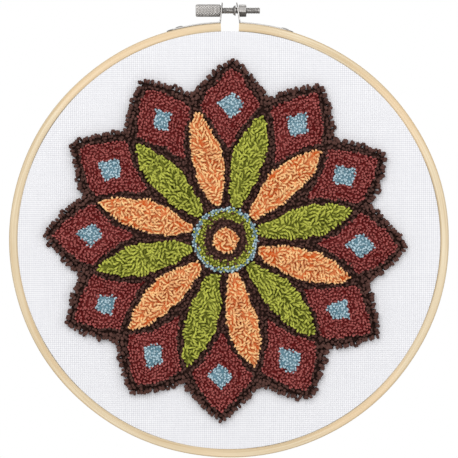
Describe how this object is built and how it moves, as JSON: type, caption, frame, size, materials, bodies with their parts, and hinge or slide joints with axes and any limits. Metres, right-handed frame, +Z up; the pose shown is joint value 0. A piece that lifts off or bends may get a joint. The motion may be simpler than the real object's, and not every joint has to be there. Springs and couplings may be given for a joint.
{
  "type": "embroidery hoop with punch needle wall piece",
  "caption": "Round wooden embroidery hoop with a screw clamp, holding a stretched cloth punched with a raised yarn rosette of petals and kite shapes in five colours.",
  "frame": {"origin": "the point on the underside of the clamp screw, midway through the hoop's depth, where a wall nail holds the piece", "axes": "+Z up, the front with the yarn faces -Y and the wall is on the +Y side, +X to the viewer's right"},
  "size_m": [0.2146, 0.0173, 0.2241],
  "materials": {
    "cloth": "white plain weave cotton, stretched",
    "wood": "pale bare wood, fine grain along the ring",
    "steel": "plated steel, satin",
    "yarn_brown": "matte looped yarn",
    "yarn_burgundy": "matte looped yarn",
    "yarn_blue": "matte looped yarn",
    "yarn_green": "matte looped yarn",
    "yarn_peach": "matte looped yarn"
  },
  "bodies": {
    "hoop": {"brown_ground": "yarn_brown", "centre_dot": "yarn_peach", "clamp_nut": "steel", "cloth": "cloth", "diamond_01": "yarn_blue", "diamond_02": "yarn_blue", "diamond_03": "yarn_blue", "diamond_04": "yarn_blue", "diamond_05": "yarn_blue", "diamond_06": "yarn_blue", "diamond_07": "yarn_blue", "diamond_08": "yarn_blue", "diamond_09": "yarn_blue", "diamond_10": "yarn_blue", "diamond_11": "yarn_blue", "diamond_12": "yarn_blue", "ear_collar": "steel", "inner_hoop": "wood", "kite_01": "yarn_burgundy", "kite_02": "yarn_burgundy", "kite_03": "yarn_burgundy", "kite_04": "yarn_burgundy", "kite_05": "yarn_burgundy", "kite_06": "yarn_burgundy", "kite_07": "yarn_burgundy", "kite_08": "yarn_burgundy", "kite_09": "yarn_burgundy", "kite_10": "yarn_burgundy", "kite_11": "yarn_burgundy", "kite_12": "yarn_burgundy", "outer_hoop": "wood", "petal_01": "yarn_green", "petal_02": "yarn_peach", "petal_03": "yarn_green", "petal_04": "yarn_peach", "petal_05": "yarn_green", "petal_06": "yarn_peach", "petal_07": "yarn_green", "petal_08": "yarn_peach", "petal_09": "yarn_green", "petal_10": "yarn_peach", "petal_11": "yarn_green", "petal_12": "yarn_peach", "ring_blue": "yarn_blue", "ring_brown": "yarn_brown", "ring_green": "yarn_green", "rivet_left": "steel", "rivet_right": "steel", "strap_left": "steel", "strap_right": "steel"},
    "thumb_screw": {"clamp_screw": "steel"}
  },
  "joints": [
    {"name": "clamp_screw_turn", "type": "hinge", "parent": "hoop", "child": "thumb_screw", "pos_m": [0, 0, 0.0016], "axis": [1, 0, 0], "continuous": true}
  ]
}
